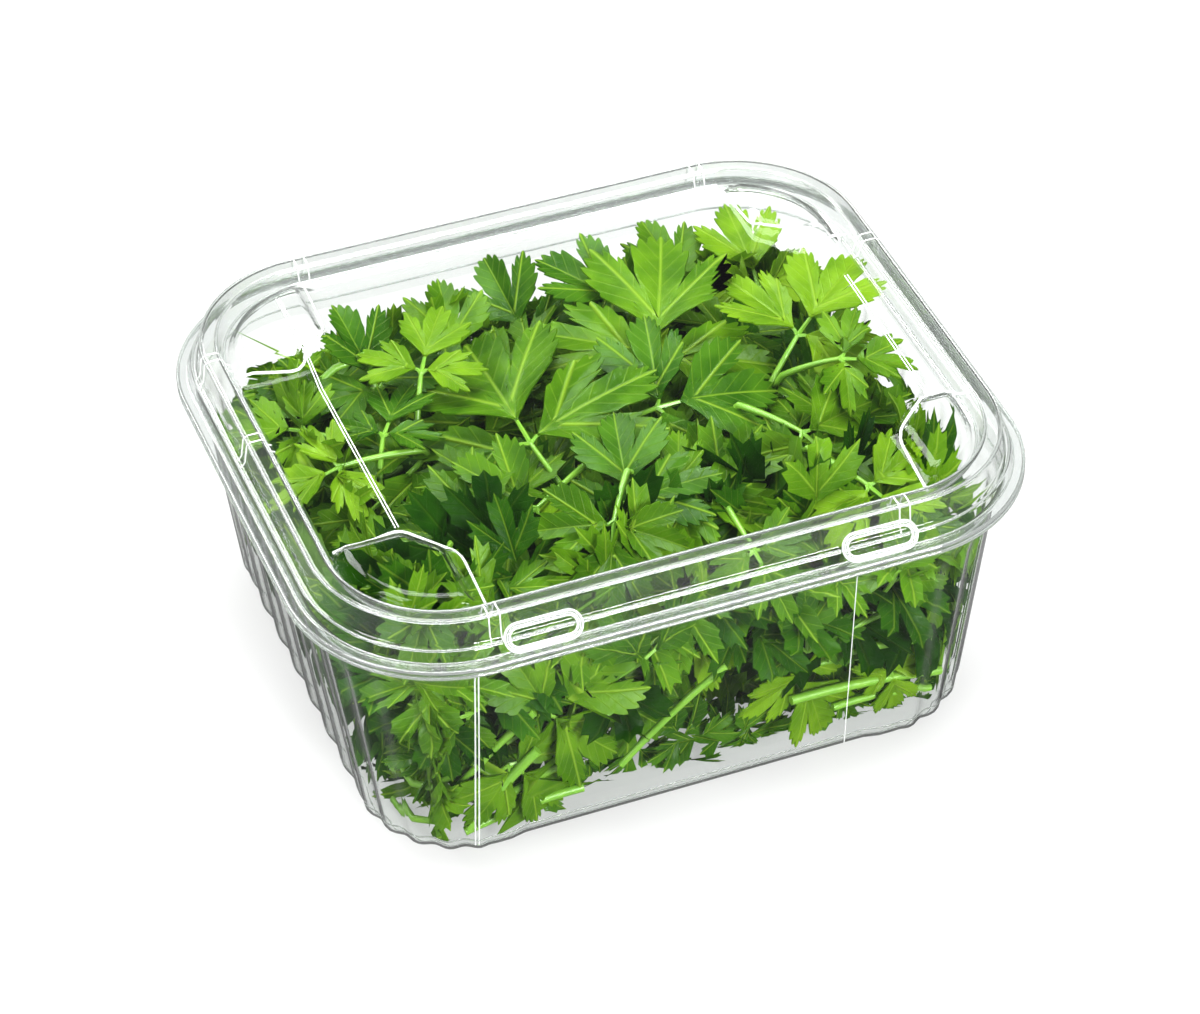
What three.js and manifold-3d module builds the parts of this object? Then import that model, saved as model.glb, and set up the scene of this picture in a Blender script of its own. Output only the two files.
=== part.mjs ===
// Cut flat-leaf parsley heaped in a clear hinged box: a fluted tray, a lid that swings on the back
// rim, and leafy sprigs that lie in the tray. Millimetres, +Z up, +X along the long side, +Y to the
// hinge, origin on the surface the tray stands on, under its middle.
import * as THREE from "three";
import Module from "manifold-3d";
import { mergeVertices } from "three/addons/utils/BufferGeometryUtils.js";

const wasm = await Module();
wasm.setup();

// Driving sizes of the box.
const RIM_HALF_X = 96;
const RIM_HALF_Y = 80.5;
const RIM_RADIUS = 39.6;
const PARTING_Z = 70.5; // the level where the two rims meet
const RIM_GAP = 0.3;
const SHEET = 0.8; // thickness of the formed sheet
const WELD = 0.02; // slivers shorter than this are closed up after a join
const RAIL_RISE = 11.6; // top of the lid's rail above the parting level
const PANEL_RISE = 6.6; // top of the lid's flat middle above the parting level

// The tray's walls: half sizes and corner radius under the rim and at the floor.
const WALL_TOP = { x: 89.2, y: 73.7, radius: 33 };
const WALL_FOOT = { x: 80.2, y: 71, radius: 26 };
const FOOT_ROUND = 5;
const PANEL_HALF_X = 50; // half width of the plain panel on each long wall
const PANEL_DEPTH = 0.9;
const FLUTE_DEPTH = 1.1;
const CORNER_FLUTES = 5;
const SIDE_FLUTES = 7;

// The lid's corner humps, latches and creases.
const HUMP = { left: 54, right: 61, front: 33, rise: 4.2, slope: 5, reach: 27.6 };
const CHAMFER = { x: 0.765, y: 0.647, cut: 7 }; // the way a hump's inner corner faces, and how much it loses
const LATCH_X = 43.6;
const LATCH = { length: 20, width: 7.4, wall: 1.7, inset: 4.3, rise: 4.35, tilt: 53, sunk: 1.15, proud: 1.6 };

// The sprigs.
const BLADE = 0.6;
const STEM_RADIUS = 0.9;
const LEAFLET_TURN = 80; // degrees between neighbouring leaflets
const MIDDLE_LENGTH = 0.84; // blade of the middle leaflet as a share of the leaf's size
const MIDDLE_NECK = 0.16; // and of the bare stalk before it
const SIDE_LENGTH = 0.78;
const SIDE_NECK = 0.05;
const NECK_HALF = 0.7;
const HEEL = 0.8; // half width of the blade where the stalk meets it
const HUB_SHARE = 0.2;
const INNER_SHARE = 0.62; // width of a side leaflet's inner half
const BASE_WIDTH = 0.35;
const BASE_SPREAD = 1.3;
const FOLD = 0.28; // how steeply a leaflet rises from its rib
const LEAN_AXIS = new THREE.Vector3(0.93, -0.37, 0).normalize();
const LEAN = { top: 18, front: -10 }; // degrees that the leaves of a face turn to the box's front left
const STALK_STEPS = 4;
const SETTLE_STEP = 0.9;
const SETTLE_REACH = 30;
const WALL_SEED = 7;
const SPRIG_SEED = 987654321;
const SHAKE_SEED = 11;
const RANDOM_SPAN = 4294967296;

const material = (color, roughness) => new THREE.MeshStandardMaterial({ color, roughness, metalness: 0 });
const clearSheet = material(0xdfe8e4, 0.08);
const parsleyGreens = [0x4f8f1e, 0x3c7a18, 0x66a526, 0x2f6a16].map((green) => material(green, 0.5));
const radians = THREE.MathUtils.degToRad;

// A closed triangle mesh as a solid that can be joined and cut.
function solidOf(geometry) {
  const plain = geometry.clone();
  plain.deleteAttribute("normal");
  plain.deleteAttribute("uv");
  const merged = mergeVertices(plain, 1e-4);
  return new wasm.Manifold(new wasm.Mesh({
    numProp: 3,
    vertProperties: new Float32Array(merged.attributes.position.array),
    triVerts: new Uint32Array(merged.index.array),
  }));
}

function geometryOf(solid) {
  const mesh = solid.getMesh();
  const geometry = new THREE.BufferGeometry();
  geometry.setAttribute("position", new THREE.BufferAttribute(mesh.vertProperties, 3));
  geometry.setIndex(new THREE.BufferAttribute(mesh.triVerts, 1));
  return geometry;
}

function meshOf(points, faces) {
  const geometry = new THREE.BufferGeometry();
  geometry.setAttribute("position", new THREE.Float32BufferAttribute(points.flat(), 3));
  geometry.setIndex(faces.flat());
  return geometry;
}

// One rounded rectangle as points with their outward direction and a relief value: flutes run
// between -1 and 1 round the corners and short sides, and the long sides sink by `panel`.
function outline({ x, y, radius }, cornerSteps, sideSteps, panelHalf = 0) {
  const points = [];
  const add = (px, py, angle, flute, panel) => {
    points.push({ x: px, y: py, nx: Math.cos(angle), ny: Math.sin(angle), flute, panel });
  };
  const corners = [[1, -1], [1, 1], [-1, 1], [-1, -1]];
  corners.forEach(([sx, sy], corner) => {
    const start = radians(-90 + 90 * corner);
    for (let i = 0; i <= cornerSteps; i++) {
      const angle = start + (Math.PI / 2) * (i / cornerSteps);
      const inside = i > 0 && i < cornerSteps;
      add(
        sx * (x - radius) + radius * Math.cos(angle),
        sy * (y - radius) + radius * Math.sin(angle),
        angle, inside ? (i % 2 ? 1 : -1) : 0, 0,
      );
    }
    const end = start + Math.PI / 2;
    if (corner % 2 === 0) {
      for (let i = 1; i < sideSteps; i++) {
        const along = (y - radius) * (2 * (i / sideSteps) - 1);
        add(sx * x, sx * along, end, i % 2 ? -1 : 1, 0);
      }
    } else if (panelHalf) {
      const side = sy; // the long side that follows a back corner runs to -X, after a front one to +X
      for (const [at, sunk] of [[1, 0], [0.97, 1], [-0.97, 1], [-1, 0]]) {
        add(side * at * panelHalf, sy * y, end, 0, sunk);
      }
    }
  });
  return points;
}

// A closed skin through rings of equal length, with a single point at each end. From the ring where
// the sheet turns back on itself the other diagonal is taken, so that both faces are split alike.
function skin(rings, firstPole, lastPole, turnsAt) {
  const count = rings[0].length;
  const points = [firstPole, ...rings.flat(), lastPole];
  const faces = [];
  const at = (ring, i) => 1 + ring * count + (i % count);
  for (let i = 0; i < count; i++) {
    faces.push([0, at(0, i), at(0, i + 1)]);
    faces.push([points.length - 1, at(rings.length - 1, i + 1), at(rings.length - 1, i)]);
  }
  for (let ring = 0; ring + 1 < rings.length; ring++) {
    for (let i = 0; i < count; i++) {
      const [a, b, c, d] = [at(ring, i), at(ring + 1, i), at(ring + 1, i + 1), at(ring, i + 1)];
      if (ring < turnsAt) faces.push([a, b, c], [a, c, d]);
      else faces.push([a, b, d], [b, c, d]);
    }
  }
  return meshOf(points, faces);
}

// One level of the tray's wall, drafted from the rim to the foot, `shrink` inwards from the outside.
function trayRing(z, shrink, relief) {
  const share = Math.min(Math.max(z / (PARTING_Z - 6), 0), 1);
  const mix = (key) => THREE.MathUtils.lerp(WALL_FOOT[key], WALL_TOP[key], share);
  const size = { x: mix("x") - shrink, y: mix("y") - shrink, radius: mix("radius") - shrink };
  return outline(size, 2 * CORNER_FLUTES, 2 * SIDE_FLUTES, PANEL_HALF_X).map((p) => {
    const out = relief * (FLUTE_DEPTH * 0.5 * p.flute - PANEL_DEPTH * p.panel);
    return [p.x + p.nx * out, p.y + p.ny * out, z];
  });
}

function rimRing(inset, z) {
  const size = { x: RIM_HALF_X - inset, y: RIM_HALF_Y - inset, radius: RIM_RADIUS - inset };
  return outline(size, 2 * CORNER_FLUTES, 2 * SIDE_FLUTES, PANEL_HALF_X).map((p) => [p.x, p.y, z]);
}

// From the middle of the floor up the inside, over the rim and down the outside.
function buildTray() {
  const top = PARTING_Z - RIM_GAP / 2;
  const rings = [
    trayRing(SHEET, FOOT_ROUND, 1),
    trayRing(FOOT_ROUND - 1, SHEET, 1),
    trayRing(54, SHEET, 1),
    trayRing(62, SHEET, 0),
    rimRing(6.6, top - 4.2),
    rimRing(5.6, top),
    rimRing(0, top),
    rimRing(0, top - 1.1),
    rimRing(4.8, top - 1.1),
    rimRing(5.6, top - 4.6),
    trayRing(62, 0, 0),
    trayRing(54, 0, 1),
    trayRing(FOOT_ROUND, 0, 1),
    trayRing(1.4, 1.6, 1),
    trayRing(0, FOOT_ROUND, 1),
  ];
  return solidOf(skin(rings, [0, 0, SHEET], [0, 0, 0], 7));
}

// Height of a corner hump over the lid's panel at x, y.
function humpHeight(x, y) {
  const startX = x < 0 ? HUMP.left : HUMP.right;
  const u = Math.abs(x) - startX;
  const v = Math.abs(y) - HUMP.front;
  const chamfer = u * CHAMFER.x + v * CHAMFER.y - CHAMFER.cut;
  const pastX = Math.max(Math.abs(x) - (RIM_HALF_X - RIM_RADIUS), 0);
  const pastY = Math.max(Math.abs(y) - (RIM_HALF_Y - RIM_RADIUS), 0);
  const fromRail = HUMP.reach - Math.hypot(pastX, pastY);
  const inside = Math.min(u, v, chamfer, fromRail);
  return HUMP.rise * THREE.MathUtils.smoothstep(inside, 0, HUMP.slope);
}

function lidOutline(inset) {
  const radius = Math.max(RIM_RADIUS - inset, 3);
  return outline({ x: RIM_HALF_X - inset, y: RIM_HALF_Y - inset, radius }, 6, 2);
}

function lidRing(inset, rise) {
  return lidOutline(inset).map((p) => [p.x, p.y, PARTING_Z + rise]);
}

function panelRing(inset, drop) {
  const level = PARTING_Z + PANEL_RISE - drop;
  return lidOutline(inset).map((p) => [p.x, p.y, level + humpHeight(p.x, p.y)]);
}

// A raised oval ring on the sloping front of the lid's rim, where the lid snaps on to the tray.
function latchRing(x) {
  const half = (LATCH.length - LATCH.width) / 2;
  const oval = (path, radius) => {
    path.absarc(half, 0, radius, -Math.PI / 2, Math.PI / 2, false);
    path.absarc(-half, 0, radius, Math.PI / 2, 1.5 * Math.PI, false);
    return path;
  };
  const shape = oval(new THREE.Shape(), LATCH.width / 2);
  shape.holes.push(oval(new THREE.Path(), LATCH.width / 2 - LATCH.wall));
  const depth = LATCH.sunk + LATCH.proud;
  const ring = new THREE.ExtrudeGeometry(shape, { depth, bevelEnabled: false, curveSegments: 4 });
  ring.translate(0, 0, -LATCH.sunk);
  ring.rotateX(radians(LATCH.tilt));
  ring.translate(x, LATCH.inset - RIM_HALF_Y, PARTING_Z + LATCH.rise);
  return solidOf(ring);
}

// From the middle of the panel out over the rail to the rim, and back along the underside.
function buildLid() {
  const bottom = RIM_GAP / 2;
  const rings = [
    panelRing(48, 0),
    panelRing(32, 0),
    panelRing(21, 0),
    panelRing(14, 0),
    lidRing(12.2, PANEL_RISE + 0.6),
    lidRing(11, RAIL_RISE - 0.7),
    lidRing(10.4, RAIL_RISE),
    lidRing(7.2, RAIL_RISE),
    lidRing(6.5, RAIL_RISE - 0.8),
    lidRing(5.5, 4.7),
    lidRing(4.1, 4.2),
    lidRing(3, 1.2),
    lidRing(0, 1.2),
    lidRing(0, bottom),
    lidRing(3.6, bottom),
    lidRing(4.9, 3.4),
    lidRing(6.1, 3.8),
    lidRing(7.6, RAIL_RISE - SHEET),
    lidRing(10, RAIL_RISE - SHEET),
    lidRing(11.4, PANEL_RISE - SHEET + 0.5),
    panelRing(14, SHEET),
    panelRing(21, SHEET),
    panelRing(32, SHEET),
    panelRing(48, SHEET),
  ];
  const middle = PARTING_Z + PANEL_RISE;
  let lid = solidOf(skin(rings, [0, 0, middle], [0, 0, middle - SHEET], 13));
  for (const x of [-LATCH_X, LATCH_X]) lid = lid.add(latchRing(x));
  return lid.asOriginal().simplify(WELD);
}

// Half the edge of a leaflet, from its tip to its base: [degrees from the rib, reach as a share of its
// length]. The second list is the plainer edge of the leaves that lie deep in the heap.
const FULL_HALF = [
  [0, 1], [7, 0.92], [12, 0.88], [18, 0.52], [25, 0.7], [33, 0.82], [41, 0.7], [49, 0.58], [56, 0.36],
];
const PLAIN_HALF = [[0, 1], [18, 0.52], [34, 0.8], [54, 0.42]];

function wholeEdge(half) {
  const mirrored = half.slice(1).map(([degrees, share]) => [-degrees, share]).reverse();
  return [...mirrored, ...half];
}

const fullEdge = wholeEdge(FULL_HALF);
const plainEdge = wholeEdge(PLAIN_HALF);

// The three leaflets of a leaf: how long each is and where its blade starts, turned to its side.
function leafletsOf(size, random) {
  return [-1, 0, 1].map((side) => {
    const length = size * (side ? SIDE_LENGTH : MIDDLE_LENGTH) * (0.92 + 0.16 * random());
    const neck = size * (side ? SIDE_NECK : MIDDLE_NECK);
    const turn = radians(side * LEAFLET_TURN);
    const lie = new THREE.Matrix4().makeTranslation(neck * Math.cos(turn), neck * Math.sin(turn), 0);
    lie.multiply(new THREE.Matrix4().makeRotationZ(turn));
    lie.multiply(new THREE.Matrix4().makeRotationY(-radians(20 * random() - 10)));
    lie.multiply(new THREE.Matrix4().makeRotationX(radians(36 * random() - 18)));
    return { side, length, lie };
  });
}

// A point of the blade in the leaf's own frame, +X towards the middle tip and +Z its face. The base of
// a leaflet is drawn in, and beside the middle leaflet the side ones are narrower.
function bladePoint({ side, length, lie }, [degrees, share], { size, bend, ruffle }) {
  const angle = radians(degrees);
  const inner = side * degrees < 0 ? INNER_SHARE : 1;
  const drawnIn = Math.min(1, BASE_WIDTH + BASE_SPREAD * share);
  const across = length * share * Math.sin(angle) * inner * drawnIn;
  const wave = 0.03 * length * share * Math.sin(5 * angle + ruffle);
  const point = new THREE.Vector3(length * share * Math.cos(angle), across, FOLD * Math.abs(across) + wave);
  point.applyMatrix4(lie);
  point.z -= (bend * (point.x ** 2 + point.y ** 2)) / size;
  return point.toArray();
}

// A thin arched blade of three leaflets, each fanned out from a hub on its rib, with a square stalk
// grown from its heel along the path. Both faces of the blade are split into triangles alike.
function leafOf(edge, leaflets, shape, path) {
  const outline = [[-HEEL, -HEEL, 0]];
  const hubs = [[0, 0, 0]];
  const fans = [];
  const junction = [0];
  for (const leaflet of leaflets) {
    const neck = (across) => new THREE.Vector3(0, across, 0).applyMatrix4(leaflet.lie).toArray();
    const first = outline.length;
    outline.push(neck(-NECK_HALF));
    edge.forEach((corner) => outline.push(bladePoint(leaflet, corner, shape)));
    outline.push(neck(NECK_HALF));
    fans.push([hubs.length, first, outline.length - 1]);
    hubs.push(bladePoint(leaflet, [0, HUB_SHARE], shape));
    junction.push(first, outline.length - 1);
  }
  outline.push([-HEEL, HEEL, 0]);
  junction.push(outline.length - 1);
  const upper = [...outline, ...hubs];
  const points = [...upper, ...upper.map(([x, y, z]) => [x, y, z - BLADE])];
  const faces = [];
  const under = upper.length;
  const addBoth = (a, b, c) => faces.push([a, b, c], [under + a, under + c, under + b]);
  fans.forEach(([hub, first, last]) => {
    for (let i = first; i < last; i++) addBoth(outline.length + hub, i, i + 1);
    addBoth(outline.length + hub, last, first);
  });
  for (let i = 0; i < junction.length; i++) {
    addBoth(outline.length, junction[i], junction[(i + 1) % junction.length]);
  }
  for (let i = 0; i + 1 < outline.length; i++) {
    faces.push([i, under + i, under + i + 1], [i, under + i + 1, i + 1]);
  }
  const last = outline.length - 1;
  let ring = [last, 0, under, under + last];
  const curve = new THREE.QuadraticBezierCurve3(...path);
  for (let step = 1; step <= STALK_STEPS; step++) {
    const centre = curve.getPoint(step / STALK_STEPS);
    const onward = curve.getTangent(step / STALK_STEPS);
    const left = new THREE.Vector3(onward.y, -onward.x, 0).normalize();
    const up = new THREE.Vector3().crossVectors(left, onward);
    const next = [[1, 1], [-1, 1], [-1, -1], [1, -1]].map(([leftward, upward]) => {
      const corner = centre.clone().addScaledVector(left, leftward * STEM_RADIUS);
      points.push(corner.addScaledVector(up, upward * STEM_RADIUS).toArray());
      return points.length - 1;
    });
    for (let i = 0; i < 4; i++) {
      const j = (i + 1) % 4;
      faces.push([ring[j], ring[i], next[i]], [ring[j], next[i], next[j]]);
    }
    ring = next;
  }
  faces.push([ring[1], ring[0], ring[3]], [ring[1], ring[3], ring[2]]);
  return solidOf(meshOf(points, faces));
}

// The five faces of the heap, each with the directions a leaf's place and aim are measured in.
const FACES = {
  top: { across: [1, 0, 0], along: [0, 1, 0], out: [0, 0, 1] },
  front: { across: [1, 0, 0], along: [0, 0, 1], out: [0, -1, 0] },
  back: { across: [-1, 0, 0], along: [0, 0, 1], out: [0, 1, 0] },
  left: { across: [0, -1, 0], along: [0, 0, 1], out: [-1, 0, 0] },
  right: { across: [0, 1, 0], along: [0, 0, 1], out: [1, 0, 0] },
};

// Leaves in sight: [across, along, out] is where the three leaflets meet, in the face's own
// directions from the box's origin, then the aim in degrees, the length of the middle leaflet, how
// many degrees the tip lifts and, where the stalk shows, the place of its far end.
const TOP_LEAVES = [
  [-18, 0, 66, 94, 44, -6], [-8, -32, 66, 78, 29, 4], [-9, -37, 63, 243, 25, -22],
  [-25, -22, 63, 205, 30, -8], [18, 2, 67, 356, 32, 0], [9, -27, 64, 345, 27, -4],
  [8, 1, 61, 98, 23, 6], [24, 17, 68, 62, 42, 4], [54, 11, 70, 36, 32, 0], [56, -2, 67, 352, 25, -8],
  [48, -19, 64, 296, 30, -10], [64, 44, 60, 84, 28, 18], [48, 54, 60, 96, 28, 22],
  [36, 54, 60, 148, 26, 6], [26, 42, 65, 128, 27, 14], [4, 44, 61, 97, 25, 18],
  [-22, 43, 60, 78, 26, 16], [-45, 41, 60, 98, 26, 20], [-55, 43, 58, 146, 22, 10],
  [-62, 28, 58, 150, 20, 0], [-38, 42, 62, 58, 22, 8], [-36, 28, 63, 64, 25, 4],
  [-50, 18, 60, 52, 20, 0], [-60, 15, 58, 188, 20, -4], [-56, 0, 58, 205, 22, -6],
  [-60, -17, 56, 218, 22, -8], [-6, -10, 57, 122, 26, -4], [36, -40, 58, 350, 24, -4],
  [-34, -46, 56, 250, 22, -14], [56, -46, 56, 300, 22, -12], [-56, -42, 54, 232, 22, -10],
  [18, -50, 57, 278, 20, -12], [66, -18, 62, 334, 20, 2], [14, 30, 62, 142, 27, 0],
];
const FRONT_LEAVES = [
  [-39, 34, 66, 36, 30, 0, [-68, 14, 60]], [-14, 45, 65, 40, 24, 2],
  [3, 39, 66, 50, 24, 0, [-22, 18, 62]], [-17, 29, 64, 314, 29, 2],
  [-46, 21, 65, 316, 24, 0, [-66, 5, 60]], [31, 34, 65, 94, 20, 0, [66, 37, 60]],
  [30, 27, 65, 292, 23, 0, [67, 27, 62]], [-58, 40, 62, 186, 17, 4],
  [-57, 44, 65, 52, 16, 0, [-63, 12, 57]], [-61, 25, 62, 262, 18, 0],
  [54, 20, 64, 282, 15, 0], [55, 48, 63, 66, 18, 4],
];
// Leaves that line the other three walls: how many, and how far across and out they sit.
const WALL_LEAVES = { back: [5, 52, 62], left: [3, 36, 70], right: [3, 34, 70] };

function combine(face, across, along, out) {
  const axes = FACES[face];
  return [0, 1, 2].map((k) => across * axes.across[k] + along * axes.along[k] + out * axes.out[k]);
}

// A leaf with its stalk, turned to its aim and set in its place on one face of the heap. The stalk
// runs back and into the heap, or to the place given as its far end.
function sprigOf(face, [across, along, out, aim, size, lift, farEnd], edge, random) {
  const tip = combine(face, Math.cos(radians(aim)), Math.sin(radians(aim)), 0);
  const forward = new THREE.Vector3(...tip);
  const normal = new THREE.Vector3(...FACES[face].out);
  const sideways = new THREE.Vector3().crossVectors(normal, forward);
  const turn = new THREE.Matrix4().makeBasis(forward, sideways, normal);
  turn.multiply(new THREE.Matrix4().makeRotationY(-radians(lift)));
  turn.multiply(new THREE.Matrix4().makeRotationX(radians(24 * random() - 12)));
  turn.premultiply(new THREE.Matrix4().makeRotationAxis(LEAN_AXIS, radians(LEAN[face] ?? 0)));
  turn.setPosition(...combine(face, across, along, out));
  const reach = 14 + 8 * random();
  const sway = 6 * random() - 3;
  const back = new THREE.Vector3(-reach, sway, -6 - 4 * random());
  if (farEnd) back.set(...combine(face, ...farEnd)).applyMatrix4(turn.clone().invert());
  const path = [
    new THREE.Vector3(-HEEL, 0, -BLADE / 2),
    new THREE.Vector3(0.5 * back.x, 0.3 * back.y, 0.25 * back.z - 0.6),
    back,
  ];
  const shape = { size, bend: 0.16 + 0.12 * random(), ruffle: 2 * Math.PI * random() };
  return leafOf(edge, leafletsOf(size, random), shape, path).transform(turn.elements);
}

// Every sprig in the order it is laid: walls first, then the top from the largest leaf down.
function listSprigs(random) {
  const list = FRONT_LEAVES.map((leaf) => ({ face: "front", leaf, edge: fullEdge }));
  for (const [face, [count, spread, out]] of Object.entries(WALL_LEAVES)) {
    for (let i = 0; i < count; i++) {
      const across = spread * ((2 * i) / (count - 1) - 1);
      const along = 26 + 22 * random();
      const aim = 360 * random();
      list.push({ face, leaf: [across, along, out, aim, 20 + 5 * random(), 0], edge: plainEdge });
    }
  }
  const top = TOP_LEAVES.map((leaf) => ({ face: "top", leaf, edge: leaf[4] > 24 ? fullEdge : plainEdge }));
  top.sort((a, b) => b.leaf[4] - a.leaf[4]);
  return [...list, ...top];
}

// Numbers from 0 to 1 that come in the same order on every run.
function seededRandom(seed) {
  let state = seed;
  return () => {
    state = (state * 1664525 + 1013904223) % RANDOM_SPAN;
    return state / RANDOM_SPAN;
  };
}

const meets = (a, b) => {
  const boxA = a.boundingBox();
  const boxB = b.boundingBox();
  const apart = [0, 1, 2].some((k) => boxA.max[k] < boxB.min[k] || boxB.max[k] < boxA.min[k]);
  return !apart && a.intersect(b).volume() > 0;
};

// Moves a sprig by small growing steps until it lies clear of everything laid before it.
function settle(sprig, laid, random) {
  for (let reach = 0; reach <= SETTLE_REACH; reach += SETTLE_STEP) {
    for (let attempt = 0; attempt < 10; attempt++) {
      const way = new THREE.Vector3();
      const height = 2 * random() - 1;
      const turn = 2 * Math.PI * random();
      const flat = Math.sqrt(1 - height * height);
      way.set(flat * Math.cos(turn), flat * Math.sin(turn), height).multiplyScalar(reach);
      const moved = sprig.translate(way.x, way.y, way.z);
      if (!laid.some((other) => meets(moved, other))) return moved;
      if (reach === 0) break;
    }
  }
  throw new Error("no room for a sprig");
}

const group = new THREE.Group();
group.name = "parsley-box";

function addNode(name, solid, finish) {
  const mesh = new THREE.Mesh(geometryOf(solid), finish);
  mesh.name = name;
  group.add(mesh);
}

const tray = buildTray();
const lid = buildLid();
addNode("tray", tray, clearSheet);
addNode("lid", lid, clearSheet);
const laid = [tray, lid];
const counts = {};
const shake = seededRandom(SHAKE_SEED);
listSprigs(seededRandom(WALL_SEED)).forEach(({ face, leaf, edge }, i) => {
  const own = seededRandom((SPRIG_SEED * (i + 1)) % RANDOM_SPAN);
  const sprig = settle(sprigOf(face, leaf, edge, own), laid, shake);
  laid.push(sprig);
  counts[face] = (counts[face] ?? 0) + 1;
  const number = String(counts[face]).padStart(2, "0");
  addNode(`sprig_${face}_${number}`, sprig, parsleyGreens[i % parsleyGreens.length]);
});
export default group;
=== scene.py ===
# %% [markdown]
# # Parsley in a clear hinged box
# The real object is a thin box formed from one clear sheet, with flutes round its walls, a rolled
# double rim and a lid that swings on the back rim. Cut flat-leaf parsley is heaped inside it.
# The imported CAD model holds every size. This lesson dresses it: finer walls and leaves take the
# place of the plain ones, and leaves too small or too many for the frame fill the heap.

# %% Load the frame
import math
import bmesh
import bpy
from mathutils import Matrix, Vector


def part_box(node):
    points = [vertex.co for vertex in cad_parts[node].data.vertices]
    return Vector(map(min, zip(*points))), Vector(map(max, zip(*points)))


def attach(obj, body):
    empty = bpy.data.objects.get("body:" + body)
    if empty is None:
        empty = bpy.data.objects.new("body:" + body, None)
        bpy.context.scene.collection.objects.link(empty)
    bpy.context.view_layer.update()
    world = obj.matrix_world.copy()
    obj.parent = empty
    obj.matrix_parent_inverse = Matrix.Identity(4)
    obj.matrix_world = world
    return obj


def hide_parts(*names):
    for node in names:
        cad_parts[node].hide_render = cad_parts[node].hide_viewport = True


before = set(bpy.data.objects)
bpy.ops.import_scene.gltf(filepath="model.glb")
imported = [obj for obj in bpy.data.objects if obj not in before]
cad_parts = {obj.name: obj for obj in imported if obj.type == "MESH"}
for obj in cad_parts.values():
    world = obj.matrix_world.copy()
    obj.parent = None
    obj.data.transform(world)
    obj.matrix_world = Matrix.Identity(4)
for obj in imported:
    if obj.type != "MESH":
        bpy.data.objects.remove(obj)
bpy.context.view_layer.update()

MM = 0.001

# %% [markdown]
# ## The camera
# The box is seen from the left front and well above it, through a long lens, so its edges hardly
# converge. The place was worked out from the four corners of the lid and the foot of the tray.

# %% Place the camera
scene = bpy.context.scene
CAMERA_TARGET = Vector((1.2, 0, 38.1)) * MM
CAMERA_DISTANCE = 1.0786
CAMERA_AZIMUTH = math.radians(-21.68)
CAMERA_ELEVATION = math.radians(40.77)
CAMERA_LENS = 125.6


def place_camera():
    data = bpy.data.cameras.new("camera")
    data.lens = CAMERA_LENS
    data.sensor_width = 36
    data.sensor_fit = "HORIZONTAL"
    camera = bpy.data.objects.new("camera", data)
    level = math.cos(CAMERA_ELEVATION)
    back = Vector((
        math.sin(CAMERA_AZIMUTH) * level,
        -math.cos(CAMERA_AZIMUTH) * level,
        math.sin(CAMERA_ELEVATION),
    ))
    camera.location = CAMERA_TARGET + back * CAMERA_DISTANCE
    camera.rotation_euler = back.to_track_quat("Z", "Y").to_euler()
    scene.collection.objects.link(camera)
    scene.camera = camera


place_camera()
print("camera at, in mm:", [round(part / MM) for part in scene.camera.location])

# %% [markdown]
# ## The studio
# Clear plastic shows only what it mirrors and bends, so the studio matters more than usual. The pale
# floor glows a little, which keeps the shadow on it faint. Seen in a reflection the same floor is painted
# dark, a painted reflection standing in for black cards beside the box, and the lower sky is dark too:
# that draws the thin grey edges which let the eye find the sheet. Four soft lamps light the leaves and
# whiten the bends.

# %% Helpers for shader nodes
def start_material(name):
    """A new material, with its node tree and its main shader."""
    material = bpy.data.materials.new(name)
    material.use_nodes = True
    return material, material.node_tree, material.node_tree.nodes["Principled BSDF"]


def feed(tree, node, values):
    """Sets a node's inputs: a socket is linked, anything else becomes the input's own value."""
    for name, value in values.items():
        if isinstance(value, bpy.types.NodeSocket):
            tree.links.new(value, node.inputs[name])
        else:
            node.inputs[name].default_value = value


def add_node(tree, kind, values):
    node = tree.nodes.new("ShaderNode" + kind)
    feed(tree, node, values)
    return node


def add_math(tree, operation, first, second=0):
    node = tree.nodes.new("ShaderNodeMath")
    node.operation = operation
    feed(tree, node, {0: first, 1: second})
    return node.outputs[0]


def blend(tree, factor, first, second, output="Material Output"):
    """Sends a mix of two shaders to the output."""
    mix = add_node(tree, "MixShader", {0: factor, 1: first.outputs[0], 2: second.outputs[0]})
    feed(tree, tree.nodes[output], {"Surface": mix.outputs[0]})


# %% The floor
FLOOR_WIDTH = 6.0
FLOOR_SHADE = (0.28, 0.28, 0.28, 1)
FLOOR_GLOW = 0.5
# Painted reflection: the floor's grey wherever a reflection sees it, in place of dark cards beside the box.
MIRRORED_FLOOR_SHADE = (0.13, 0.13, 0.13, 1)


def lay_floor():
    """Seen in any reflection, the floor is painted dark, a painted reflection of dark cards. Seen directly
    or through the sheet, it stays pale.
    """
    shape = bmesh.new()
    bmesh.ops.create_grid(shape, x_segments=1, y_segments=1, size=FLOOR_WIDTH / 2)
    mesh = bpy.data.meshes.new("floor")
    shape.to_mesh(mesh)
    shape.free()
    floor = bpy.data.objects.new("floor", mesh)
    paint, tree, pale = start_material("studio_floor")
    feed(tree, pale, {
        "Base Color": FLOOR_SHADE, "Roughness": 0.9, "Specular IOR Level": 0,
        "Emission Color": (1, 1, 1, 1), "Emission Strength": FLOOR_GLOW,
    })
    dark = add_node(tree, "BsdfDiffuse", {"Color": MIRRORED_FLOOR_SHADE})
    rays = add_node(tree, "LightPath", {})
    mirrored = add_math(tree, "MINIMUM", rays.outputs["Glossy Depth"], 1)
    blend(tree, mirrored, pale, dark)
    mesh.materials.append(paint)
    scene.collection.objects.link(floor)


lay_floor()
print("floor:", FLOOR_WIDTH, "m wide")

# %% The sky: shades by height where it is mirrored, and one even shade where it only lights
FILL_LIGHT = (0.22, 0.22, 0.22, 1)
SKY_STEPS = ((0.0, 0.35), (0.06, 0.05), (0.34, 0.05), (0.5, 0.12), (0.72, 0.2), (0.82, 0.35), (0.92, 0.5))


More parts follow.
